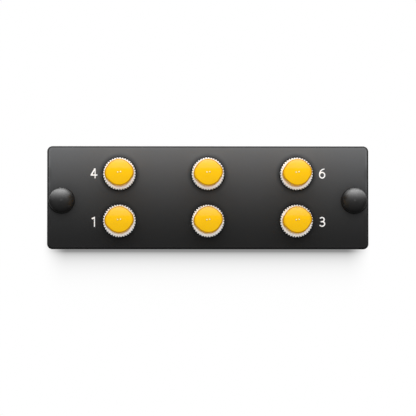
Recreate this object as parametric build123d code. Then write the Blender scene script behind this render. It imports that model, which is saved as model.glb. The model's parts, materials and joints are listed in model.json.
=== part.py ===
from build123d import *
from math import cos, pi, sin
import os

# Fibre adapter panel: a flat steel plate that carries six round threaded fibre
# adapters in two rows, each with its lock washer, knurled panel nut and two dust
# caps, and two push-pull plungers in nylon grommets that fix it to an enclosure.
#
# Frame: X across the panel, Z up, and the front faces -Y. The origin is the middle
# of the plate's rear face. Every piece is drawn in a view from the front, where
# depth is measured forward from that rear face, and show() turns it into the frame.
# All sizes are millimetres and all angles are degrees.

# Plate
plate_width = 109.0
plate_height = 35.0
plate_thickness = 1.5
plate_corner_radius = 1.8
plate_edge_round = 0.7
plate_burr_round = 0.15

# Ports
port_columns = 3
port_rows = 2
port_pitch_across = 30.0
port_pitch_up = 16.0

# Adapter body
bore_diameter = 6.1
bore_chamfer = 0.25
barrel_wall = 0.95
barrel_free_length = 8.0
barrel_chamfer = 0.4
barrel_flat_depth = 0.45
web_thickness = 2.0
key_slot_width = 2.15
key_slot_length = 3.6
flange_rim = 1.4
flange_thickness = 1.5
flange_chamfer = 0.25
flange_wrench_depth = 0.4
relief_width = 0.7
relief_depth = 0.35
panel_hole_clearance = 0.1

# Split alignment sleeve and its two holders
sleeve_length = 11.4
sleeve_outer_diameter = 3.2
sleeve_bore_diameter = 2.49
sleeve_slot_width = 0.5
sleeve_chamfer = 0.12
sleeve_side_play = 0.05
sleeve_end_play = 0.05
holder_wall = 0.5
holder_lip_thickness = 0.55
holder_lip_diameter = 2.7
holder_collar_thickness = 0.8
holder_chamfer = 0.15
holder_fit_clearance = 0.03
holder_nose_gap = 0.05

# Lock washer and panel nut
washer_rim = 0.35
washer_bore_clearance = 0.05
washer_thickness = 0.4
washer_teeth = 12
washer_gap_width = 0.8
washer_gap_depth = 0.55
nut_wall = 1.5
nut_thickness = 2.1
nut_chamfer = 0.12
nut_knurls = 38
nut_knurl_depth = 0.35
nut_thread_clearance = 0.03
nut_lead_in = 0.3

# Dust cap
cap_wall = 0.5
cap_bore_clearance = 0.05
cap_end_clearance = 0.1
cap_seat_clearance = 0.1
cap_roof_thickness = 1.4
cap_dome_rise = 0.95
cap_shoulder_round = 0.6
cap_rib_rise = 0.42
cap_rib_radius = 3.2
cap_rib_blend = 2.6
cap_rib_angle = 7.0
cap_rim_chamfer = 0.2
cap_pip_spacing = 0.98
cap_pip_diameter = 0.7
cap_pip_rise = 0.12

# Grommet
plunger_edge_distance = 4.85
plunger_drop = 1.0
grommet_flange_diameter = 9.1
grommet_flange_thickness = 0.8
grommet_flange_round = 0.25
grommet_collar_diameter = 6.2
grommet_collar_taper = 0.2
grommet_leg_diameter = 5.8
grommet_leg_length = 6.5
grommet_leg_chamfer = 0.4
grommet_slot_width = 0.6
grommet_slot_root = 0.6
grommet_hole_clearance = 0.05
grommet_bulb_clearance = 0.1

# Plunger
plunger_head_diameter = 8.4
plunger_head_height = 3.9
plunger_dome_rise = 2.4
plunger_head_round = 0.6
plunger_rib_rise = 0.15
plunger_rib_radius = 2.4
plunger_rib_blend = 1.2
plunger_rib_angle = 7.0
plunger_seat_clearance = 0.05
plunger_shaft_diameter = 3.4
plunger_shaft_clearance = 0.05
plunger_bulb_diameter = 4.2
plunger_bulb_length = 1.6
plunger_bulb_chamfer = 0.45
plunger_tip_reach = 0.5
plunger_travel = 4.5
plunger_stop_gap = 0.1

# Radii and diameters that follow from the bore, from the inside out
barrel_diameter = bore_diameter + 2 * barrel_wall
barrel_flat_distance = barrel_diameter / 2 - barrel_flat_depth
flange_diameter = barrel_diameter + 2 * flange_rim
nut_diameter = barrel_diameter + 2 * nut_wall
washer_diameter = nut_diameter + 2 * washer_rim
cap_bore_radius = barrel_diameter / 2 + cap_bore_clearance
cap_radius = cap_bore_radius + cap_wall

# Depths in front of the plate's rear face, and behind it where they are negative
plate_front = plate_thickness
washer_front = plate_front + washer_thickness
nut_front = washer_front + nut_thickness
barrel_front = nut_front + barrel_free_length
flange_rear = -flange_thickness
barrel_rear = flange_rear - barrel_free_length
mating_plane = (barrel_front + barrel_rear) / 2
grommet_front = plate_front + grommet_flange_thickness
grommet_rear = -grommet_leg_length

# Port centres by number: the lower row first, each row from left to right
port_centres = {
    row * port_columns + column + 1: (
        (column - (port_columns - 1) / 2) * port_pitch_across,
        (row - (port_rows - 1) / 2) * port_pitch_up,
    )
    for row in range(port_rows)
    for column in range(port_columns)
}

# Plunger centres by side
plunger_offset = plate_width / 2 - plunger_edge_distance
plunger_centres = {
    "left": (-plunger_offset, -plunger_drop),
    "right": (plunger_offset, -plunger_drop),
}

front_view = Plane(origin=(0, 0, 0), x_dir=(1, 0, 0), z_dir=(0, -1, 0)).location


# Puts a piece that was drawn in the front view at its place in the frame.
def show(piece, across=0.0, up=0.0):
    return front_view * Pos(across, up, 0) * piece


# A turned piece, from the (radius, depth) corners of half its section.
def turned(*corners):
    half_section = make_face(Polyline(*corners, close=True))
    return revolve(Plane.XZ * half_section, Axis.Z)


# A solid disc between two depths, with both of its rims chamfered.
def chamfered_disc(radius, low, high, chamfer_size):
    return turned(
        (0, low),
        (radius - chamfer_size, low),
        (radius, low + chamfer_size),
        (radius, high - chamfer_size),
        (radius - chamfer_size, high),
        (0, high),
    )


# A shallow dome over a rim: everything under a sphere that passes through the
# rim's circle and rises above it by the given amount.
def dome_limit(rim_radius, rise, top):
    radius = (rim_radius**2 + rise**2) / (2 * rise)
    return Pos(0, 0, top - radius) * Sphere(radius)


# A circle with two low, wide ribs on opposite sides, for the fingers to grip.
def ribbed_outline(radius, rise, rib_radius, blend, angle):
    outline = Circle(radius)
    for turn in (0, 180):
        rib = Pos(radius + rise - rib_radius, 0) * Circle(rib_radius)
        outline += Rot(0, 0, angle + turn) * rib
    return fillet(outline.vertices(), blend)


# The round hole with one flat, low side that stops an adapter from turning.
def port_hole():
    radius = barrel_diameter / 2 + panel_hole_clearance
    flat = barrel_flat_distance + panel_hole_clearance
    return Circle(radius) - Pos(0, -flat - radius) * Rectangle(2 * radius, 2 * radius)


def panel_plate():
    outline = RectangleRounded(plate_width, plate_height, plate_corner_radius)
    for across, up in port_centres.values():
        outline -= Pos(across, up) * port_hole()
    grommet_hole_radius = grommet_collar_diameter / 2 + grommet_hole_clearance
    for across, up in plunger_centres.values():
        outline -= Pos(across, up) * Circle(grommet_hole_radius)
    plate = extrude(outline, plate_thickness)
    front_rim = plate.faces().sort_by(Axis.Z)[-1].outer_wire().edges()
    plate = fillet(front_rim, plate_edge_round)
    rear_rim = plate.faces().sort_by(Axis.Z)[0].outer_wire().edges()
    return fillet(rear_rim, plate_burr_round)


# One turned body: a threaded barrel each side of the flange, and a web in the
# middle of the bore that the two sleeve holders sit against.
def adapter_body():
    barrel = barrel_diameter / 2
    bore = bore_diameter / 2
    flange = flange_diameter / 2
    web_bore = holder_outer_radius() + holder_fit_clearance
    web_front = mating_plane + web_thickness / 2
    web_rear = mating_plane - web_thickness / 2
    body = turned(
        (bore + bore_chamfer, barrel_front),
        (barrel - barrel_chamfer, barrel_front),
        (barrel, barrel_front - barrel_chamfer),
        (barrel, 0),
        (flange - flange_chamfer, 0),
        (flange, -flange_chamfer),
        (flange, flange_rear + flange_chamfer),
        (flange - flange_chamfer, flange_rear),
        (barrel - relief_depth, flange_rear),
        (barrel - relief_depth, flange_rear - relief_width),
        (barrel, flange_rear - relief_width - relief_depth),
        (barrel, barrel_rear + barrel_chamfer),
        (barrel - barrel_chamfer, barrel_rear),
        (bore + bore_chamfer, barrel_rear),
        (bore, barrel_rear + bore_chamfer),
        (bore, web_rear),
        (web_bore, web_rear),
        (web_bore, web_front),
        (bore, web_front),
        (bore, barrel_front - bore_chamfer),
    )
    wrench_cut = Box(flange, flange_diameter, 2 * flange_thickness)
    for side in (-1, 1):
        body -= Pos(side * (1.5 * flange - flange_wrench_depth), 0, 0) * wrench_cut
    flat_cut = Box(barrel_diameter, barrel, barrel_front, align=(Align.CENTER, Align.MAX, Align.MIN))
    body -= Pos(0, -barrel_flat_distance, 0) * flat_cut
    key_cut = Box(key_slot_width, barrel_diameter, 2 * key_slot_length)
    for end in (barrel_front, barrel_rear):
        body -= Pos(0, barrel, end) * key_cut
    return body


def holder_outer_radius():
    return sleeve_outer_diameter / 2 + sleeve_side_play + holder_wall


# A tube with a collar that sits on the web, drawn forward of the mating plane.
# The lip at its far end keeps the sleeve in.
def sleeve_holder():
    outer = holder_outer_radius()
    room = sleeve_outer_diameter / 2 + sleeve_side_play
    lip = holder_lip_diameter / 2
    collar = bore_diameter / 2 - holder_fit_clearance
    collar_low = web_thickness / 2
    collar_high = collar_low + holder_collar_thickness
    room_end = sleeve_length / 2 + sleeve_end_play
    end = room_end + holder_lip_thickness
    return turned(
        (room, holder_nose_gap),
        (outer, holder_nose_gap),
        (outer, collar_low),
        (collar - holder_chamfer, collar_low),
        (collar, collar_low + holder_chamfer),
        (collar, collar_high - holder_chamfer),
        (collar - holder_chamfer, collar_high),
        (outer, collar_high),
        (outer, end - holder_chamfer),
        (outer - holder_chamfer, end),
        (lip + holder_chamfer, end),
        (lip, end - holder_chamfer),
        (lip, room_end),
        (room, room_end),
    )


# The ceramic sleeve that lines up the two ferrules, with its one slot at the top.
def split_sleeve():
    outer = sleeve_outer_diameter / 2
    bore = sleeve_bore_diameter / 2
    half = sleeve_length / 2
    sleeve = turned(
        (bore + sleeve_chamfer, -half),
        (outer, -half),
        (outer, half),
        (bore + sleeve_chamfer, half),
        (bore, half - sleeve_chamfer),
        (bore, -half + sleeve_chamfer),
    )
    return sleeve - Pos(0, outer, 0) * Box(sleeve_slot_width, outer, 2 * sleeve_length)


# A ring with gaps around its bore, which leave the teeth that bite the plate.
def lock_washer():
    bore = barrel_diameter / 2 + washer_bore_clearance
    face = Circle(washer_diameter / 2) - Circle(bore)
    gap = Pos(bore, 0) * Rectangle(2 * washer_gap_depth, washer_gap_width)
    face -= PolarLocations(0, washer_teeth) * gap
    return Pos(0, 0, plate_front) * extrude(face, washer_thickness)


# A round nut whose straight knurls come out as one ridge for each pair of points.
def panel_nut():
    tip = nut_diameter / 2
    ridge_points = []
    for step in range(2 * nut_knurls):
        radius = tip - nut_knurl_depth * (step % 2)
        angle = pi * step / nut_knurls
        ridge_points.append((radius * cos(angle), radius * sin(angle)))
    ridges = extrude(make_face(Polyline(*ridge_points, close=True)), nut_thickness)
    nut = ridges & chamfered_disc(tip, 0, nut_thickness, nut_chamfer)
    thread = barrel_diameter / 2 + nut_thread_clearance
    nut -= turned(
        (0, 0),
        (thread + nut_lead_in, 0),
        (thread, nut_lead_in),
        (thread, nut_thickness - nut_lead_in),
        (thread + nut_lead_in, nut_thickness),
        (0, nut_thickness),
    )
    return Pos(0, 0, washer_front) * nut


# A soft ribbed cap drawn with its open rim at depth 0 and its domed end in front. Two
# moulding pips stand in the middle of the dome, in line with the ribs.
def dust_cap():
    outline = ribbed_outline(cap_radius, cap_rib_rise, cap_rib_radius, cap_rib_blend, cap_rib_angle)
    bore_depth = barrel_free_length - cap_seat_clearance + cap_end_clearance
    height = bore_depth + cap_roof_thickness
    cap = extrude(outline, height) & dome_limit(cap_radius, cap_dome_rise, height)
    shoulder = cap.faces().sort_by(Axis.Z)[-1].outer_wire().edges()
    cap = fillet(shoulder, cap_shoulder_round)
    pip = cap_pip_diameter / 2
    pip_rod = Pos(0, 0, bore_depth) * Cylinder(pip, height, align=(Align.CENTER, Align.CENTER, Align.MIN))
    pip_rod &= dome_limit(pip, cap_pip_rise, height + cap_pip_rise)
    for side in (-1, 1):
        cap += Rot(0, 0, cap_rib_angle) * Pos(side * cap_pip_spacing / 2, 0, 0) * pip_rod
    return cap - turned(
        (0, 0),
        (cap_bore_radius + cap_rim_chamfer, 0),
        (cap_bore_radius, cap_rim_chamfer),
        (cap_bore_radius, bore_depth),
        (0, bore_depth),
    )


# A flanged bush whose legs, parted by two crossed slots, are spread behind the
# enclosure's rail by the plunger's bulb.
def grommet():
    flange = grommet_flange_diameter / 2
    collar = grommet_collar_diameter / 2
    leg = grommet_leg_diameter / 2
    shaft_bore = plunger_shaft_diameter / 2 + plunger_shaft_clearance
    bulb_bore = plunger_bulb_diameter / 2 + grommet_bulb_clearance
    bulb_stop = plunger_bulb_front() + plunger_travel + plunger_stop_gap
    body = turned(
        (shaft_bore, grommet_front),
        (flange - grommet_flange_round, grommet_front),
        (flange, grommet_front - grommet_flange_round),
        (flange, plate_front),
        (collar, plate_front),
        (collar, 0),
        (leg, -grommet_collar_taper),
        (leg, grommet_rear + grommet_leg_chamfer),
        (leg - grommet_leg_chamfer, grommet_rear),
        (bulb_bore, grommet_rear),
        (bulb_bore, bulb_stop),
        (shaft_bore, bulb_stop),
    )
    slot_front = -grommet_collar_taper - grommet_slot_root
    slot = Box(
        grommet_leg_diameter * 2,
        grommet_slot_width,
        2 * grommet_leg_length,
        align=(Align.CENTER, Align.CENTER, Align.MAX),
    )
    for turn in (45, 135):
        body -= Pos(0, 0, slot_front) * Rot(0, 0, turn) * slot
    return body


# Depth of the front of the bulb when the plunger is pushed in.
def plunger_bulb_front():
    return grommet_rear - plunger_tip_reach + plunger_bulb_length


# A domed, ribbed push button on a shaft that ends in the bulb, shown pushed in.
def plunger(rib_angle):
    head = plunger_head_diameter / 2
    shaft = plunger_shaft_diameter / 2
    bulb = plunger_bulb_diameter / 2
    seat = grommet_front + plunger_seat_clearance
    top = seat + plunger_head_height
    bulb_rear = grommet_rear - plunger_tip_reach
    bulb_front = plunger_bulb_front()
    outline = ribbed_outline(head, plunger_rib_rise, plunger_rib_radius, plunger_rib_blend, rib_angle)
    button = Pos(0, 0, seat) * extrude(outline, 2 * plunger_head_height)
    button &= dome_limit(head, plunger_dome_rise, top)
    button = fillet(button.faces().sort_by(Axis.Z)[-1].outer_wire().edges(), plunger_head_round)
    stem = turned(
        (0, seat),
        (shaft, seat),
        (shaft, bulb_front),
        (bulb - plunger_bulb_chamfer, bulb_front),
        (bulb, bulb_front - plunger_bulb_chamfer),
        (bulb, bulb_rear + plunger_bulb_chamfer),
        (bulb - plunger_bulb_chamfer, bulb_rear),
        (0, bulb_rear),
    )
    return button + stem


# Every node of the panel, by name.
def nodes():
    body = adapter_body()
    holder = sleeve_holder()
    sleeve = Pos(0, 0, mating_plane) * split_sleeve()
    front_holder = Pos(0, 0, mating_plane) * holder
    rear_holder = Pos(0, 0, mating_plane) * Rot(180, 0, 0) * holder
    cap = dust_cap()
    front_cap = Pos(0, 0, nut_front + cap_seat_clearance) * cap
    rear_cap = Pos(0, 0, flange_rear - cap_seat_clearance) * Rot(180, 0, 0) * cap
    port_pieces = {
        "adapter_{}_body": body,
        "adapter_{}_front_holder": front_holder,
        "adapter_{}_rear_holder": rear_holder,
        "adapter_{}_sleeve": sleeve,
        "front_cap_{}": front_cap,
        "rear_cap_{}": rear_cap,
    }
    made = {"panel_plate": show(panel_plate())}
    for number, centre in port_centres.items():
        for name, piece in port_pieces.items():
            made[name.format(number)] = show(piece, *centre)
    centres = port_centres.values()
    made["panel_nuts"] = Compound([show(panel_nut(), *centre) for centre in centres])
    made["lock_washers"] = Compound([show(lock_washer(), *centre) for centre in centres])
    for side, (across, up) in plunger_centres.items():
        rib_angle = plunger_rib_angle if across < 0 else -plunger_rib_angle
        made[f"grommet_{side}"] = show(grommet(), across, up)
        made[f"plunger_{side}"] = show(plunger(rib_angle), across, up)
    return made


os.makedirs("parts", exist_ok=True)
for node, piece in nodes().items():
    export_step(piece, os.path.join("parts", node + ".step"))
    print(node, round(piece.volume, 2), "mm3")
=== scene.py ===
# Fibre adapter panel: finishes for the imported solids, with threads, knurled nuts and printed
# numbers made here, in a plain white studio

import json
import math
import bmesh
import bpy
from mathutils import Matrix, Vector


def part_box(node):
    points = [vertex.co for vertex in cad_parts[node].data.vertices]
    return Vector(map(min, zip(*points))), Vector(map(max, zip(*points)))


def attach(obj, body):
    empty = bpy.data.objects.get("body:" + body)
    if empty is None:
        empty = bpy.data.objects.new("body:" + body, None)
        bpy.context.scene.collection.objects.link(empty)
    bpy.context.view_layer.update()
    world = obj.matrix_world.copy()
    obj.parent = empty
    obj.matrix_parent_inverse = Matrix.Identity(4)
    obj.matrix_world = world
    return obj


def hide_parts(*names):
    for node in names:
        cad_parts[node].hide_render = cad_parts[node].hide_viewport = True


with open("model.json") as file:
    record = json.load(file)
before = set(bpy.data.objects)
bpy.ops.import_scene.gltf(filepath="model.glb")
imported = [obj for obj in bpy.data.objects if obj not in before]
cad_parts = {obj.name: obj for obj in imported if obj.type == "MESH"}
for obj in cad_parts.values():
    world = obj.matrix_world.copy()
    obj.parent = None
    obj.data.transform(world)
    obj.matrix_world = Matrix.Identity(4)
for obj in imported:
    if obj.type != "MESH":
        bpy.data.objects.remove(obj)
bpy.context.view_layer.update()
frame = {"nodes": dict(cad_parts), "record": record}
mm = 0.001
print("frame loaded:", len(frame["nodes"]), "nodes")


# Places that the other pieces are worked out from, all read from the frame

plateLow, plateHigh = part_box("panel_plate")
plateFront = plateLow.y
plateCentre = (plateLow + plateHigh) / 2


def portCentre(number):
    low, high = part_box(f"adapter_{number}_sleeve")
    return (low + high) / 2


portNumbers = [1, 2, 3, 4, 5, 6]
ports = {number: portCentre(number) for number in portNumbers}
pitchAcross = ports[2].x - ports[1].x
pitchUp = ports[4].z - ports[1].z


def newObject(name, data):
    thing = bpy.data.objects.new(name, data)
    bpy.context.scene.collection.objects.link(thing)
    return thing


# Cameras and lamps look along their own -Z
def pointAlong(thing, direction):
    thing.rotation_mode = "QUATERNION"
    thing.rotation_quaternion = direction.to_track_quat("-Z", "Y")


# Camera at the photo's viewing angle

cameraView = {
    "distance": 1.3,
    "elevation": -3.0,  # degrees, a little below the panel
    "azimuth": -0.8,  # degrees, a little to its left
    "framePixels": 416,
    "platePixels": 321.3,  # width of the plate in the photo
    "plateCentreAt": (207.85, 197.7),  # its centre there, in pixels from the top left
    "sensor": 36.0,
    "clip": (0.01, 20),
}


def makeCamera(look):
    perPixel = (plateHigh.x - plateLow.x) / look["platePixels"]
    half = look["framePixels"] / 2
    pixelX, pixelY = look["plateCentreAt"]
    aim = plateCentre + Vector(((half - pixelX) * perPixel, 0, (pixelY - half) * perPixel))
    turn = math.radians(look["azimuth"])
    tilt = math.radians(look["elevation"])
    back = Vector((
        math.sin(turn) * math.cos(tilt),
        -math.cos(turn) * math.cos(tilt),
        math.sin(tilt),
    ))
    lens = bpy.data.cameras.new("photoCamera")
    lens.sensor_width = look["sensor"]
    lens.lens = look["sensor"] * look["distance"] / (look["framePixels"] * perPixel)
    lens.clip_start, lens.clip_end = look["clip"]
    camera = newObject("photoCamera", lens)
    camera.location = aim + back * look["distance"]
    pointAlong(camera, -back)
    bpy.context.scene.camera = camera


makeCamera(cameraView)
bpy.context.scene.view_settings.view_transform = "Standard"
print("camera placed")


# Shader maths: a Signal is one output socket, and Python operators on it add Math nodes

class Signal:
    def __init__(self, tree, socket):
        self.tree = tree
        self.socket = socket

    def __add__(self, other):
        return self.tree.maths("ADD", self, other)

    def __radd__(self, other):
        return self.tree.maths("ADD", other, self)

    def __sub__(self, other):
        return self.tree.maths("SUBTRACT", self, other)

    def __rsub__(self, other):
        return self.tree.maths("SUBTRACT", other, self)

    def __mul__(self, other):
        return self.tree.maths("MULTIPLY", self, other)

    def __rmul__(self, other):
        return self.tree.maths("MULTIPLY", other, self)

    def __truediv__(self, other):
        return self.tree.maths("DIVIDE", self, other)

    def __rtruediv__(self, other):
        return self.tree.maths("DIVIDE", other, self)

    def __pow__(self, other):
        return self.tree.maths("POWER", self, other)

    def __rpow__(self, other):
        return self.tree.maths("POWER", other, self)

    def maths(self, operation, *others):
        return self.tree.maths(operation, self, *others)

    def clamped(self):
        return self.tree.add("ShaderNodeClamp", {}, {"Value": self})

    def smooth(self, low, high):
        return self.tree.add(
            "ShaderNodeMapRange",
            {"interpolation_type": "SMOOTHSTEP"},
            {"Value": self, "From Min": low, "From Max": high},
        )

    # Turns a noise, which runs from 0 to 1, into a change to either side of nothing
    def swing(self, amount):
        return (self - 0.5) * amount


class Tree:
    def __init__(self, nodeTree):
        self.nodes = nodeTree.nodes
        self.links = nodeTree.links
        self.nodes.clear()

    # Any node: its settings go first, then the values or links of its sockets
    def add(self, kind, settings, sockets, output=0):
        node = self.nodes.new(kind)
        for name, value in settings.items():
            if name == "stops":
                ramp = node.color_ramp
                while len(ramp.elements) < len(value):
                    ramp.elements.new(1.0)
                for element, (position, colour) in zip(ramp.elements, value):
                    element.position = position
                    element.color = colour
            else:
                setattr(node, name, value)
        for name, value in sockets.items():
            if isinstance(value, Signal):
                self.links.new(value.socket, node.inputs[name])
            else:
                node.inputs[name].default_value = value
        return Signal(self, node.outputs[output]) if len(node.outputs) else None

    def maths(self, operation, *values):
        return self.add("ShaderNodeMath", {"operation": operation}, dict(enumerate(values)))

    def axes(self, vector):
        split = self.add("ShaderNodeSeparateXYZ", {}, {"Vector": vector})
        outputs = split.socket.node.outputs
        return [Signal(self, outputs[name]) for name in "XYZ"]

    def place(self):
        return self.add("ShaderNodeTexCoord", {}, {}, "Object")

    def noise(self, scale, detail=2.0):
        sockets = {"Vector": self.place(), "Scale": scale, "Detail": detail}
        return self.add("ShaderNodeTexNoise", {}, sockets)

    def blendColours(self, factor, first, second):
        return self.add("ShaderNodeMix", {"data_type": "RGBA"}, {0: factor, 6: first, 7: second}, 2)

    def blendShaders(self, factor, first, second):
        return self.add("ShaderNodeMixShader", {}, {0: factor, 1: first, 2: second})

    def bump(self, height, distance, strength):
        sockets = {"Height": height, "Distance": distance, "Strength": strength}
        return self.add("ShaderNodeBump", {}, sockets)


def newMaterial(name):
    material = bpy.data.materials.new(name)
    material.use_nodes = True
    return material, Tree(material.node_tree)


def surface(tree, shader):
    tree.add("ShaderNodeOutputMaterial", {}, {"Surface": shader})


def grey(level):
    return (level, level, level, 1)


# Length of a line, from its parts across and up
def span(across, up):
    return (across * across + up * up) ** 0.5


# Place across and up from the axis of the nearest port, in metres
def portPlace(tree):
    x, _, z = tree.axes(tree.place())
    localX = (x - ports[1].x).maths("WRAP", -pitchAcross / 2, pitchAcross / 2)
    localZ = (z - ports[1].z).maths("WRAP", -pitchUp / 2, pitchUp / 2)
    return localX, localZ


# Powder coat on the plate, with painted light and painted shade in its colour

powderLook = {
    # painted light: the base goes from low at the lower edge to high at the upper edge, for studio
    # light from above
    "low": (0.0020, 0.0021, 0.0022, 1),
    "high": (0.1185, 0.1202, 0.1233, 1),  # painted light at the upper edge, a little blue against the warm light off the caps
    "rise": 2.0,
    "grain": 3600,  # about 0.28 mm from bump to bump
    "grainDetail": 1.5,
    "grainShade": 0.12,
    "waves": 700,
    "waveRoughness": 0.1,
    "relief": (0.75, 0.5),  # shares of the grain and of the waves
    "reliefHeight": 0.012 * mm,
    "reliefStrength": 0.5,
    "roughness": 0.42,
    "specular": 0.2,
    "cornerRadius": 1.8 * mm,
    # painted highlight: how far inside the outline a paler line starts, peaks and ends, for light
    # caught by the rounded edge
    "wear": (0.50 * mm, 0.75 * mm, 1.15 * mm),
    "edgeHighlightGain": 0.60,
    "edgeHighlightGrey": 0.012,
    # painted shade: from so far inside the outline, out to so far, the coat darkens to a dark rim
    "rim": (0.62 * mm, 0.40 * mm),
    "rimShadeColour": 0.008,
    "rimRoughness": 0.8,
    "rimSpecular": 0.15,
    "portShade": (7.4 * mm, 5.6 * mm),  # it darkens towards each nut too, between these radii
    "portShadeStrength": 0.55,
}


# How far a point is inside the plate's outline, seen from the front
def insideOutline(tree, corner):
    x, _, z = tree.axes(tree.place())
    half = (plateHigh - plateLow) / 2
    across = (x - plateCentre.x).maths("ABSOLUTE") - (half.x - corner)
    up = (z - plateCentre.z).maths("ABSOLUTE") - (half.z - corner)
    outside = span(across.maths("MAXIMUM", 0.0), up.maths("MAXIMUM", 0.0))
    inner = across.maths("MAXIMUM", up).maths("MINIMUM", 0.0)
    return corner - outside - inner


def powderCoat(look):
    material, tree = newMaterial("powderCoat")
    grain = tree.noise(look["grain"], look["grainDetail"])
    waves = tree.noise(look["waves"])
    grainShare, waveShare = look["relief"]
    relief = grain * grainShare + waves * waveShare
    normal = tree.bump(relief, look["reliefHeight"], look["reliefStrength"])
    inside = insideOutline(tree, look["cornerRadius"])
    # painted highlight: a paler line just inside the outline, kept under the name wear
    highlightStart, highlightPeak, highlightEnd = look["wear"]
    wear = inside.smooth(highlightStart, highlightPeak) * inside.smooth(highlightEnd, highlightPeak)
    # painted light: the base colour rises with height
    _, _, z = tree.axes(tree.place())
    height = (z - plateLow.z) / (plateHigh.z - plateLow.z)
    highlightAndMottle = 1 + wear * look["edgeHighlightGain"] + grain.swing(look["grainShade"])
    paintedLightAndGrain = height.clamped() ** look["rise"] * highlightAndMottle + wear * look["edgeHighlightGrey"]
    face = tree.add("ShaderNodeBsdfPrincipled", {}, {
        "Base Color": tree.blendColours(paintedLightAndGrain, look["low"], look["high"]),
        "Roughness": look["roughness"] + waves.swing(look["waveRoughness"]),
        "Specular IOR Level": look["specular"],
        "Normal": normal,
    })
    rim = tree.add("ShaderNodeBsdfPrincipled", {}, {
        "Base Color": grey(look["rimShadeColour"]),
        "Roughness": look["rimRoughness"],
        "Specular IOR Level": look["rimSpecular"],
        "Normal": normal,
    })
    # painted shade: the dark rim along the outline, and the darkening round each nut
    rimShade = inside.smooth(*look["rim"])
    shade = span(*portPlace(tree)).smooth(*look["portShade"]) * look["portShadeStrength"]
    surface(tree, tree.blendShaders(rimShade.maths("MAXIMUM", shade), face, rim))
    return material


# Nickel plate on turned brass: fine rings round each port's axis

nickelSkin = {
    "cloud": 900,
    "cloudDetail": 3,
    "cloudEdges": (0.35, 0.75),
    "fine": 6000,
    "fineRoughness": 0.16,
    "relief": (0.5, 0.4),  # shares of the rings and of the fine noise
    "reliefStrength": 0.6,
}
nickelLook = {
    **nickelSkin,
    "bright": (0.84, 0.83, 0.81, 1),
    "dull": (0.70, 0.68, 0.64, 1),
    "ringPitch": 0.05 * mm,
    "ringHeight": 0.0012 * mm,
    "roughness": 0.36,
    "metallic": 1.0,
}
nutLook = {
    **nickelSkin,
    # a little blue, painted to offset the warm light that the yellow caps throw on the nuts
    "bright": (0.94, 0.96, 0.985, 1),
    "dull": (0.90, 0.92, 0.945, 1),
    "ringPitch": 0.09 * mm,
    "ringHeight": 0.0010 * mm,
    "roughness": 0.5,
    "metallic": 0.12,  # a fine blasted skin scatters much of the light
}


def nickelPlate(name, look):
    material, tree = newMaterial(name)
    radius = span(*portPlace(tree))
    rings = (radius * (2 * math.pi / look["ringPitch"])).maths("SINE")
    cloud = tree.noise(look["cloud"], look["cloudDetail"]).smooth(*look["cloudEdges"])
    fine = tree.noise(look["fine"])
    ringShare, fineShare = look["relief"]
    relief = rings * ringShare + fine * fineShare
    surface(tree, tree.add("ShaderNodeBsdfPrincipled", {}, {
        "Base Color": tree.blendColours(cloud, look["bright"], look["dull"]),
        "Metallic": look["metallic"],
        "Roughness": look["roughness"] + fine.swing(look["fineRoughness"]),
        "Normal": tree.bump(relief, look["ringHeight"], look["reliefStrength"]),
    }))
    return material


# Black oxide on the spring steel of the lock washers

oxideLook = {
    "dark": grey(0.003),
    "light": grey(0.007),
    "cloud": 1500,
    "cloudDetail": 3,
    "roughness": 0.6,
    "cloudRoughness": 0.2,
    "specular": 0.15,
}


def blackOxide(look):
    material, tree = newMaterial("blackOxide")
    cloud = tree.noise(look["cloud"], look["cloudDetail"])
    surface(tree, tree.add("ShaderNodeBsdfPrincipled", {}, {
        "Base Color": tree.blendColours(cloud, look["dark"], look["light"]),
        "Roughness": look["roughness"] + cloud * look["cloudRoughness"],
        "Specular IOR Level": look["specular"],
    }))
    return material


# White ceramic of the sleeves

ceramicLook = {
    "light": (0.90, 0.88, 0.83, 1),
    "dark": (0.84, 0.82, 0.77, 1),
    "cloud": 1200,
    "roughness": 0.16,
    "cloudRoughness": 0.08,
}


def zirconiaCeramic(look):
    material, tree = newMaterial("zirconiaCeramic")
    cloud = tree.noise(look["cloud"])
    surface(tree, tree.add("ShaderNodeBsdfPrincipled", {}, {
        "Base Color": tree.blendColours(cloud, look["light"], look["dark"]),
        "Roughness": look["roughness"] + cloud * look["cloudRoughness"],
    }))
    return material


# Soft yellow plastic of the dust caps, with a painted sheen and painted shade in its colour.
# Its painted shades go by how squarely the surface faces along Y, from 0 on the straight side to 1
# on top of the dome, and by how far it leans up

capLook = {
    "body": (0.905, 0.51, 0.0, 1),
    "deep": (0.885, 0.49, 0.0, 1),
    "cloud": 260,
    "cloudEdges": (0.35, 0.8),
    "paintedSheen": (0.69, 0.48, 0.11, 1),  # painted sheen: paler where the dome leans up
    "sheenSteps": [((0.08, 0.16), 0.25), ((0.22, 0.42), 0.75)],  # two leans and its share
    "sheenFacing": (0.8, 0.9),
    "side": (0.82, 0.43, 0.0, 1),  # painted shade: deeper on the side
    "sideFacing": (0.9, 0.6),
    "shoulder": (0.52, 0.24, 0.0, 1),  # painted shade, deepest round the edge of the dome
    "shoulderFacing": (0.938, 0.908),
    "shoulderEnd": (0.02, 0.25),  # where it gives way to the side again
    "paintedGlint": (1.0, 0.96, 0.42, 1),  # painted glints: pale spots at the two moulding pips
    "markApart": 0.98 * mm,
    "markAngle": 7,
    "markSize": (0.28 * mm, 0.14 * mm),  # radius at which it starts, and is whole
    "peel": 900,
    "peelHeight": 0.004 * mm,
    "peelStrength": 0.5,
    "peelRoughness": 0.12,
    "roughness": 0.2,
    "specular": 0.15,
}


# How far a point is from the nearer of the two pips of its cap
def pipDistance(tree, look):
    localX, localZ = portPlace(tree)
    turn = math.radians(look["markAngle"])
    along = localX * math.cos(turn) + localZ * math.sin(turn)
    beside = localZ * math.cos(turn) - localX * math.sin(turn)
    return span(along.maths("ABSOLUTE") - look["markApart"] / 2, beside)


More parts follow.
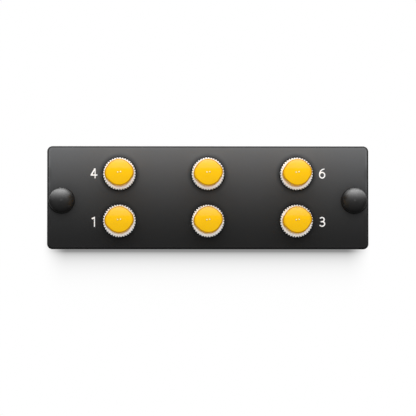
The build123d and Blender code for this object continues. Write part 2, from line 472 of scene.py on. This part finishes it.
def capPlastic(look):
    material, tree = newMaterial("capPlastic")
    peel = tree.noise(look["peel"])
    cloud = tree.noise(look["cloud"]).smooth(*look["cloudEdges"])
    _, ahead, lean = tree.axes(tree.add("ShaderNodeTexCoord", {}, {}, "Normal"))
    facing = ahead.maths("ABSOLUTE")
    # painted sheen on the upper part of the dome
    leaning = sum(lean.smooth(*leans) * share for leans, share in look["sheenSteps"])
    paintedSheen = leaning * facing.smooth(*look["sheenFacing"])
    # painted shade on the side and round the shoulder
    side = facing.smooth(*look["sideFacing"])
    shoulder = facing.smooth(*look["shoulderFacing"]) * facing.smooth(*look["shoulderEnd"])
    # painted glints at the two moulding pips
    paintedGlint = pipDistance(tree, look).smooth(*look["markSize"]) * (1 - side)
    colour = tree.blendColours(cloud, look["body"], look["deep"])
    colour = tree.blendColours(paintedSheen, colour, look["paintedSheen"])
    colour = tree.blendColours(side, colour, look["side"])
    colour = tree.blendColours(shoulder, colour, look["shoulder"])
    surface(tree, tree.add("ShaderNodeBsdfPrincipled", {}, {
        "Base Color": tree.blendColours(paintedGlint, colour, look["paintedGlint"]),
        "Roughness": look["roughness"] + peel.swing(look["peelRoughness"]),
        "Specular IOR Level": look["specular"],
        "Normal": tree.bump(peel, look["peelHeight"], look["peelStrength"]),
    }))
    return material


# Black nylon, duller on the grommets than on the plungers

nylonSkin = {
    "skin": 2400,
    "skinHeight": 0.004 * mm,
    "skinStrength": 0.5,
    "cloud": 500,
    "cloudRoughness": 0.1,
    "lighter": 1.5,  # how much lighter the clouds get
}
grommetLook = {**nylonSkin, "level": 0.005, "roughness": 0.6, "specular": 0.12}
plungerLook = {**nylonSkin, "level": 0.004, "roughness": 0.42, "specular": 0.4}


def blackNylon(name, look):
    material, tree = newMaterial(name)
    skin = tree.noise(look["skin"])
    cloud = tree.noise(look["cloud"])
    dark = look["level"]
    surface(tree, tree.add("ShaderNodeBsdfPrincipled", {}, {
        "Base Color": tree.blendColours(cloud, grey(dark), grey(dark * look["lighter"])),
        "Roughness": look["roughness"] + cloud.swing(look["cloudRoughness"]),
        "Specular IOR Level": look["specular"],
        "Normal": tree.bump(skin, look["skinHeight"], look["skinStrength"]),
    }))
    return material


# White ink of the port numbers

inkLook = {"fresh": grey(0.97), "worn": grey(0.90), "wear": 5000, "roughness": 0.5}


def printInk(look):
    material, tree = newMaterial("printInk")
    wear = tree.noise(look["wear"])
    surface(tree, tree.add("ShaderNodeBsdfPrincipled", {}, {
        "Base Color": tree.blendColours(wear, look["fresh"], look["worn"]),
        "Roughness": look["roughness"],
    }))
    return material


materials = {
    "powder_coat": powderCoat(powderLook),
    "nickel": nickelPlate("nickelPlate", nickelLook),
    "black_steel": blackOxide(oxideLook),
    "zirconia": zirconiaCeramic(ceramicLook),
    "yellow_cap": capPlastic(capLook),
    "black_nylon": blackNylon("blackNylon", grommetLook),
    "plunger_nylon": blackNylon("plungerNylon", plungerLook),
}
nutMaterial = nickelPlate("satinNickel", nutLook)
inkMaterial = printInk(inkLook)

slotOfNode = {part["node"]: part["material_slot"] for part in frame["record"]["subparts"]}
for name, node in frame["nodes"].items():
    finish = nutMaterial if name == "panel_nuts" else materials[slotOfNode[name]]
    node.data.materials.clear()
    node.data.materials.append(finish)
print("finishes made:", len(materials) + 2)


# Threaded adapter bodies: the solids are smooth there, so each is replaced by one with real
# threads. Half sections are (place along Y, radius), in millimetres from the port's centre

adapterBody = {
    "segments": 72,
    "pitch": 0.75,
    "crest": 4.0,
    "threadDepth": 0.46,
    # one groove, as (share of the pitch, share of the depth)
    "groove": [(0.0, 0.0), (0.125, 0.0), (0.4375, 1.0), (0.6875, 1.0), (1.0, 0.0)],
    "frontThread": [(-12.0, 3.6), (-11.6, 4.0), (-0.3, 4.0)],
    "flange": [(0.0, 4.0), (0.0, 5.15), (0.25, 5.4), (1.25, 5.4), (1.5, 5.15), (1.5, 3.65)],
    "rearThread": [(2.2, 3.65), (2.55, 4.0), (9.1, 4.0), (9.5, 3.6)],
    "bore": [
        (9.5, 3.3),
        (9.25, 3.05),
        (-0.25, 3.05),
        (-0.25, 2.18),
        (-2.25, 2.18),
        (-2.25, 3.05),
        (-11.75, 3.05),
        (-12.0, 3.3),
    ],
    # boxes cut out of it, each by its low and high corner
    "cuts": [
        ((-5.0, -12.5, -5.0), (5.0, 0.0, -3.55)),  # flat that stops it from turning
        ((-1.075, -12.5, 0.0), (1.075, -8.4, 5.0)),  # key slots
        ((-1.075, 5.9, 0.0), (1.075, 10.0, 5.0)),
        ((-7.0, -0.1, -7.0), (-5.0, 1.6, 7.0)),  # wrench flats
        ((5.0, -0.1, -7.0), (7.0, 1.6, 7.0)),
    ],
    "sharpAngle": 30,
}
skinLimits = {
    "weld": 0.0005 * mm,  # nearer points are one
    "sliver": 0.0002 * mm,  # shorter edges go
}


def between(points, place):
    for (low, lowValue), (high, highValue) in zip(points, points[1:]):
        if place <= high:
            return lowValue + (highValue - lowValue) * (place - low) / (high - low)
    return points[-1][1]


# One row of points round the axis, following the helix where the row is part of a thread
def threadRow(look, envelope, start):
    low = envelope[0][0]
    high = envelope[-1][0]
    row = []
    for segment in range(look["segments"] + 1):
        turn = segment / look["segments"]
        along = min(max(start + look["pitch"] * turn, low), high)
        phase = (along - low) / look["pitch"] - turn
        groove = between(look["groove"], phase - math.floor(phase))
        radius = look["crest"] - look["threadDepth"] * groove
        row.append((along, min(between(envelope, along), radius)))
    return row


def threadRows(look, envelope):
    low = envelope[0][0]
    high = envelope[-1][0]
    turns = range(-1, math.ceil((high - low) / look["pitch"]) + 1)
    corners = [corner for corner, _ in look["groove"][:-1]]
    starts = [low + look["pitch"] * (turn + corner) for turn in turns for corner in corners]
    return [threadRow(look, envelope, start) for start in starts]


def plainRows(look, section):
    return [[point] * (look["segments"] + 1) for point in section]


# Joins rows of (place along Y, radius) points, one for each turn round Y, into a closed skin
def turnedSkin(name, rows, turns):
    skin = bmesh.new()
    rings = []
    for row in rows:
        ring = []
        for turn, (along, radius) in zip(turns, row):
            angle = 2 * math.pi * turn
            point = (radius * math.sin(angle) * mm, along * mm, radius * math.cos(angle) * mm)
            ring.append(skin.verts.new(point))
        rings.append(ring)
    for ring, following in zip(rings, rings[1:] + rings[:1]):
        for this in range(len(turns) - 1):
            after = this + 1
            skin.faces.new((ring[this], ring[after], following[after], following[this]))
    bmesh.ops.remove_doubles(skin, verts=skin.verts, dist=skinLimits["weld"])
    bmesh.ops.dissolve_degenerate(skin, edges=skin.edges, dist=skinLimits["sliver"])
    bmesh.ops.recalc_face_normals(skin, faces=skin.faces)
    mesh = bpy.data.meshes.new(name)
    skin.to_mesh(mesh)
    skin.free()
    return mesh


def sweepBody(look):
    rows = threadRows(look, look["frontThread"]) + plainRows(look, look["flange"])
    rows += threadRows(look, look["rearThread"]) + plainRows(look, look["bore"])
    turns = [segment / look["segments"] for segment in range(look["segments"] + 1)]
    return turnedSkin("adapterThreads", rows, turns)


def boxCutter(cuts):
    cutter = bmesh.new()
    for low, high in cuts:
        size = Vector(high) - Vector(low)
        middle = (Vector(high) + Vector(low)) / 2
        place = Matrix.Translation(middle * mm) @ Matrix.Diagonal((*(size * mm), 1))
        bmesh.ops.create_cube(cutter, size=1, matrix=place)
    mesh = bpy.data.meshes.new("adapterCuts")
    cutter.to_mesh(mesh)
    cutter.free()
    return mesh


def threadedBody(look):
    body = newObject("adapterDraft", sweepBody(look))
    cutter = newObject("adapterCutter", boxCutter(look["cuts"]))
    cut = body.modifiers.new("cuts", "BOOLEAN")
    cut.operation = "DIFFERENCE"
    cut.solver = "EXACT"
    cut.object = cutter
    bpy.context.view_layer.update()
    finished = body.evaluated_get(bpy.context.evaluated_depsgraph_get())
    mesh = bpy.data.meshes.new_from_object(finished)
    for thing in (body, cutter):
        bpy.data.objects.remove(thing)
    mesh.shade_smooth()
    mesh.set_sharp_from_angle(angle=math.radians(look["sharpAngle"]))
    return mesh


def movedToPort(mesh, centre):
    moved = mesh.copy()
    moved.transform(Matrix.Translation((centre.x, 0, centre.z)))
    return moved


threadMesh = threadedBody(adapterBody)
for number, centre in ports.items():
    piece = newObject(f"threadedBody{number}", movedToPort(threadMesh, centre))
    piece.data.materials.clear()
    piece.data.materials.append(materials["nickel"])
    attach(piece, "root")
    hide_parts(f"adapter_{number}_body")
print("threads cut:", len(threadMesh.polygons), "faces each")


# Panel nuts: the solids' V ridges become square-topped teeth with room between them.
# Measures are in millimetres

nutShape = {
    "teeth": 38,
    # one tooth, as (share of the pitch, share of the depth)
    "tooth": [(0.0, 0.0), (0.10, 1.0), (0.46, 1.0), (0.56, 0.0)],
    "tip": 5.5,
    "root": 5.18,
    "faceRadius": 5.4,  # where the chamfer meets each face
    "front": -4.0,
    "rear": -1.9,
    "chamfer": 0.1,
    "bore": 4.03,
    "leadIn": 0.3,
}


def nutMesh(look):
    turns = []
    radii = []
    for tooth in range(look["teeth"]):
        for share, height in look["tooth"]:
            turns.append((tooth + share) / look["teeth"])
            radii.append(look["root"] + (look["tip"] - look["root"]) * height)
    turns.append(1.0)
    radii.append(radii[0])
    face = [min(radius, look["faceRadius"]) for radius in radii]
    front, rear, chamfer = look["front"], look["rear"], look["chamfer"]
    bore, leadIn = look["bore"], look["leadIn"]
    rows = [
        [(front, radius) for radius in face],
        [(front + chamfer, radius) for radius in radii],
        [(rear - chamfer, radius) for radius in radii],
        [(rear, radius) for radius in face],
    ]
    boreSection = [
        (rear, bore + leadIn),
        (rear - leadIn, bore),
        (front + leadIn, bore),
        (front, bore + leadIn),
    ]
    rows += [[point] * len(turns) for point in boreSection]
    return turnedSkin("nutTeeth", rows, turns)


oneNut = nutMesh(nutShape)
allNuts = bmesh.new()
for centre in ports.values():
    allNuts.from_mesh(movedToPort(oneNut, centre))
nutsMesh = bpy.data.meshes.new("knurledNuts")
allNuts.to_mesh(nutsMesh)
allNuts.free()
nutsMesh.materials.append(nutMaterial)
nuts = newObject("knurledNuts", nutsMesh)
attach(nuts, "root")
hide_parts("panel_nuts")
print("nuts knurled:", len(nutsMesh.polygons), "faces")


# Printed port numbers: flat ink outlines, drawn in millimetres about their centres, with
# places from the plate's centre

numberPrint = {
    "height": 0.02 * mm,
    "sunk": 0.01 * mm,
    "stroke": 0.40,
    "thinStroke": 0.33,
    "top": 1.68,
    "arcSteps": 28,
    "places": {"4": (-38.56, 8.22), "1": (-38.7, -8.22), "6": (38.78, 8.2), "3": (38.78, -8.2)},
    "one": {"stem": 0.1, "topEnd": 0.24, "flag": [(-0.75, 1.2), (-0.5, 0.76)], "flagRoot": 1.06},
    "four": {
        "stem": 0.15,
        "bar": (-0.80, -0.38),
        "barEnds": (-1.19, 1.08),
        "slope": (-0.44, 0.05),  # height of its foot on the left, and where its top starts
        "gap": (-0.62, 0.93),  # corner on the bar, and the one up the stem
    },
    "six": {
        "bowl": (0.0, -0.56),
        "bowlRadii": (1.07, 1.15),
        "stem": (0.78, -0.3),
        "thinner": 0.06,  # how much thinner the stem gets at its top
    },
    "three": {
        "middle": 0.04,
        "upper": (-0.08, 0.74),  # centre and half width of each bowl
        "lower": (-0.06, 0.88),
        "barEnd": -0.52,
        "ends": (150, -152),  # degrees round each bowl at which the stroke ends
    },
}


def arc(centre, radii, start, end):
    steps = numberPrint["arcSteps"]
    points = []
    for step in range(steps + 1):
        angle = math.radians(start + (end - start) * step / steps)
        across = centre[0] + radii[0] * math.cos(angle)
        up = centre[1] + radii[1] * math.sin(angle)
        points.append((across, up))
    return points


def outsideOf(points, centre, radii):
    kept = []
    for across, up in points:
        away = ((across - centre[0]) / radii[0]) ** 2 + ((up - centre[1]) / radii[1]) ** 2
        if away > 1:
            kept.append((across, up))
    return kept


def grown(radii, amount):
    return (radii[0] + amount, radii[1] + amount)


def outlineOne(look):
    top = numberPrint["top"]
    left = look["stem"]
    right = left + numberPrint["thinStroke"]
    return [[
        (left, -top),
        (right, -top),
        (right, top),
        (look["topEnd"], top),
        *look["flag"],
        (left, look["flagRoot"]),
    ]]


def outlineFour(look):
    top = numberPrint["top"]
    left = look["stem"]
    right = left + numberPrint["thinStroke"]
    barLow, barHigh = look["bar"]
    barLeft, barRight = look["barEnds"]
    slopeFoot, slopeTop = look["slope"]
    gapLeft, gapTop = look["gap"]
    return [
        [
            (left, -top),
            (left, barLow),
            (barLeft, barLow),
            (barLeft, slopeFoot),
            (slopeTop, top),
            (right, top),
            (right, barHigh),
            (barRight, barHigh),
            (barRight, barLow),
            (right, barLow),
            (right, -top),
        ],
        [(gapLeft, barHigh), (left, barHigh), (left, gapTop)],
    ]


def outlineSix(look):
    stroke = numberPrint["stroke"]
    top = numberPrint["top"]
    bowl, bowlRadii, stem = look["bowl"], look["bowlRadii"], look["stem"]
    stemRadii = (stem[0] - bowl[0] + bowlRadii[0], top - stem[1])
    innerRadii = (stemRadii[0] - stroke, stemRadii[1] - stroke + look["thinner"])
    inner = outsideOf(arc(stem, innerRadii, 180, 90), bowl, bowlRadii)
    meeting = math.degrees(math.atan2(
        (inner[0][1] - bowl[1]) / bowlRadii[1],
        (inner[0][0] - bowl[0]) / bowlRadii[0],
    ))
    outer = arc(stem, stemRadii, 90, 180) + arc(bowl, bowlRadii, 180, 360 + meeting)
    return [outer + inner, arc(bowl, grown(bowlRadii, -stroke), 0, 360)[:-1]]


def outlineThree(look):
    half = numberPrint["stroke"] / 2
    top = numberPrint["top"]
    middle = look["middle"]
    upperX, upperHalf = look["upper"]
    lowerX, lowerHalf = look["lower"]
    upperEnd, lowerEnd = look["ends"]
    upperRadii = (upperHalf, (top - half - middle) / 2)
    lowerRadii = (lowerHalf, (middle + top - half) / 2)
    upper = (upperX, middle + upperRadii[1])
    lower = (lowerX, middle - lowerRadii[1])
    upperOuter = arc(upper, grown(upperRadii, half), upperEnd, -90)
    lowerOuter = arc(lower, grown(lowerRadii, half), 90, lowerEnd)
    return [
        outsideOf(upperOuter, lower, grown(lowerRadii, half))
        + outsideOf(lowerOuter, upper, grown(upperRadii, half))
        + arc(lower, grown(lowerRadii, -half), lowerEnd, 90)
        + [(look["barEnd"], middle - half), (look["barEnd"], middle + half)]
        + arc(upper, grown(upperRadii, -half), -90, upperEnd)
    ]


def printNumber(name, digit, outlines):
    across, up = numberPrint["places"][digit]
    thickness = numberPrint["height"] + numberPrint["sunk"]
    curve = bpy.data.curves.new(name, "CURVE")
    curve.dimensions = "2D"
    curve.fill_mode = "BOTH"
    curve.extrude = thickness / 2
    for outline in outlines:
        spline = curve.splines.new("POLY")
        spline.points.add(len(outline) - 1)
        for point, (x, z) in zip(spline.points, outline):
            point.co = (x * mm, z * mm, 0, 1)
        spline.use_cyclic_u = True
    drawn = bpy.data.objects.new(name + "Outline", curve)
    mesh = bpy.data.meshes.new_from_object(drawn)
    bpy.data.objects.remove(drawn)
    middle = plateFront - numberPrint["height"] + thickness / 2
    place = Matrix.Translation((plateCentre.x + across * mm, middle, plateCentre.z + up * mm))
    mesh.transform(place @ Matrix.Rotation(math.pi / 2, 4, "X"))
    mesh.materials.clear()
    mesh.materials.append(inkMaterial)
    piece = newObject(name, mesh)
    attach(piece, "root")


printNumber("printedFour", "4", outlineFour(numberPrint["four"]))
printNumber("printedOne", "1", outlineOne(numberPrint["one"]))
printNumber("printedSix", "6", outlineSix(numberPrint["six"]))
printNumber("printedThree", "3", outlineThree(numberPrint["three"]))
print("numbers printed")


# Studio: a white sheet behind, with the panel's shadow painted on it, and a pale floor below

sheetLook = {
    "y": 0.032,
    "width": 0.6,
    "height": 0.5,
    "shadowTop": -16.9 * mm,  # where the camera sees the plate's lower edge on the sheet
    # each part of the panel's shadow, by its depth and how far down it fades to a third
    "shadows": [(0.20, 0.6 * mm), (0.53, 3.2 * mm)],
    "shadowReach": 52.8 * mm,  # half its width
    "shadowEnd": 4.5 * mm,  # how softly it ends at each side
    "shadowHidden": 12 * mm,  # how far it fades upward, out of sight behind the plate
}
floorLook = {"z": -0.11, "size": 3.0, "own": 0.55, "lit": 0.75}


# Only the camera sees the stage, and only from its front, so it takes no light off the part
def stageMaterial(name, makeShader, look):
    material, tree = newMaterial(name)
    isCamera = tree.add("ShaderNodeLightPath", {}, {}, "Is Camera Ray")
    isBack = tree.add("ShaderNodeNewGeometry", {}, {}, "Backfacing")
    clear = tree.add("ShaderNodeBsdfTransparent", {}, {})
    surface(tree, tree.blendShaders(isCamera * (1 - isBack), clear, makeShader(tree, look)))
    return material


def sheetShader(tree, look):
    x, _, z = tree.axes(tree.place())
    drop = (look["shadowTop"] - z).clamped()
    below = sum((drop / -fade).maths("EXPONENT") * depth for depth, fade in look["shadows"])
    above = z.smooth(look["shadowTop"] + look["shadowHidden"], look["shadowTop"])
    outer = look["shadowReach"] + look["shadowEnd"]
    inner = look["shadowReach"] - look["shadowEnd"]
    ends = x.maths("ABSOLUTE").smooth(outer, inner)
    light = 1 - below * above * ends
    return tree.add("ShaderNodeEmission", {}, {"Color": light, "Strength": 1.0})


def floorShader(tree, look):
    own = tree.add("ShaderNodeEmission", {}, {"Color": grey(look["own"]), "Strength": 1.0})
    lit = tree.add("ShaderNodeBsdfDiffuse", {}, {"Color": grey(look["lit"])})
    return tree.add("ShaderNodeAddShader", {}, {0: own, 1: lit})


def stagePlane(name, corners, material):
    mesh = bpy.data.meshes.new(name)
    mesh.from_pydata(corners, [], [(0, 1, 2, 3)])
    mesh.materials.append(material)
    plane = newObject(name, mesh)


def makeStage():
    halfWide = sheetLook["width"] / 2
    halfHigh = sheetLook["height"] / 2
    y = sheetLook["y"]
    stagePlane("whiteSheet", [
        (-halfWide, y, -halfHigh),
        (halfWide, y, -halfHigh),
        (halfWide, y, halfHigh),
        (-halfWide, y, halfHigh),
    ], stageMaterial("whiteSheet", sheetShader, sheetLook))
    reach = floorLook["size"] / 2
    z = floorLook["z"]
    stagePlane("paleFloor", [
        (-reach, -reach, z),
        (reach, -reach, z),
        (reach, reach, z),
        (-reach, reach, z),
    ], stageMaterial("paleFloor", floorShader, floorLook))


# Soft lamps above and in front, aimed at the panel's middle unless one says otherwise. Glossy
# surfaces don't show them, and have levels of their own in the world instead

lamps = {
    "gradeStrip": {
        "at": (0, -0.040, 0.036),
        "size": (0.4, 0.03),
        "radiance": 0.5,
        "aim": (0, 0, 0.016),
    },
    "overheadBox": {"at": (0, -0.015, 0.42), "size": (0.8, 0.17), "radiance": 3.0},
    "topBox": {"at": (0, -0.22, 0.38), "size": (0.9, 0.22), "radiance": 0.8},
    "sheenBox": {"at": (0, -0.42, 0.30), "size": (0.40, 0.30), "radiance": 0.4},
    "leftBox": {"at": (-0.5, -0.30, 0.05), "size": (0.3, 0.4), "radiance": 0.3},
    "rightBox": {"at": (0.5, -0.30, 0.05), "size": (0.3, 0.4), "radiance": 0.3},
}


def makeLamp(name, look):
    wide, high = look["size"]
    light = bpy.data.lights.new(name, "AREA")
    light.shape = "RECTANGLE"
    light.size = wide
    light.size_y = high
    light.energy = look["radiance"] * math.pi * wide * high
    lamp = newObject(name, light)
    lamp.location = look["at"]
    pointAlong(lamp, Vector(look.get("aim", (0, 0, 0))) - lamp.location)
    lamp.visible_camera = False
    lamp.visible_glossy = False


# Light round the panel, as levels by the height of its direction, from -1 straight down to 1
# straight up. Along Y, the view's side is at -1 and the panel's rear at 1

worldLook = {
    "levels": [(-1.0, 0.7), (-0.5, 1.1), (0.0, 0.85), (0.3, 0.78), (0.6, 0.7), (1.0, 0.75)],
    "ahead": (0.2, -0.2),  # it fades in towards the front between these
    "back": (0.3, 0.7),  # and comes again between these, for the panel's rear
    # what glossy surfaces show of it, darker below and brighter above
    "reflected": [
        (-1.0, 0.2),
        (-0.45, 0.5),
        (0.1, 0.8),
        (0.25, 1.1),
        (0.36, 2.2),
        (0.6, 3.4),
        (0.85, 7.5),
        (1.0, 13.0),
    ],
    "reflectedAhead": (0.2, -0.4),  # the higher its direction, the further back it reaches
}


# Heights from -1 to 1 as places along a ramp
def rampPlace(height):
    return height * 0.5 + 0.5


def sky(tree, up, levels, strength):
    brightest = max(level for _, level in levels)
    stops = [(rampPlace(height), grey(level / brightest)) for height, level in levels]
    ramp = tree.add("ShaderNodeValToRGB", {"stops": stops}, {"Fac": rampPlace(up)})
    sockets = {"Color": ramp, "Strength": strength * brightest}
    return tree.add("ShaderNodeBackground", {}, sockets)


def makeWorld(look):
    world = bpy.data.worlds.new("studio")
    world.use_nodes = True
    bpy.context.scene.world = world
    tree = Tree(world.node_tree)
    _, y, up = tree.axes(tree.add("ShaderNodeTexCoord", {}, {}, "Generated"))
    ahead = y.smooth(*look["ahead"])
    reflectedAhead = (y - up.clamped()).smooth(*look["reflectedAhead"])
    back = y.smooth(*look["back"])
    studio = sky(tree, up, look["levels"], ahead + back)
    mirrored = sky(tree, up, look["reflected"], reflectedAhead + back)
    white = tree.add("ShaderNodeBackground", {}, {"Color": grey(1.0), "Strength": 1.0})
    isGlossy = tree.add("ShaderNodeLightPath", {}, {}, "Is Glossy Ray")
    isCamera = tree.add("ShaderNodeLightPath", {}, {}, "Is Camera Ray")
    lit = tree.blendShaders(isGlossy, studio, mirrored)
    seen = tree.blendShaders(isCamera, lit, white)
    tree.add("ShaderNodeOutputWorld", {}, {"Surface": seen})


makeStage()
for lampName, lampLook in lamps.items():
    makeLamp(lampName, lampLook)
makeWorld(worldLook)
print("studio lit")
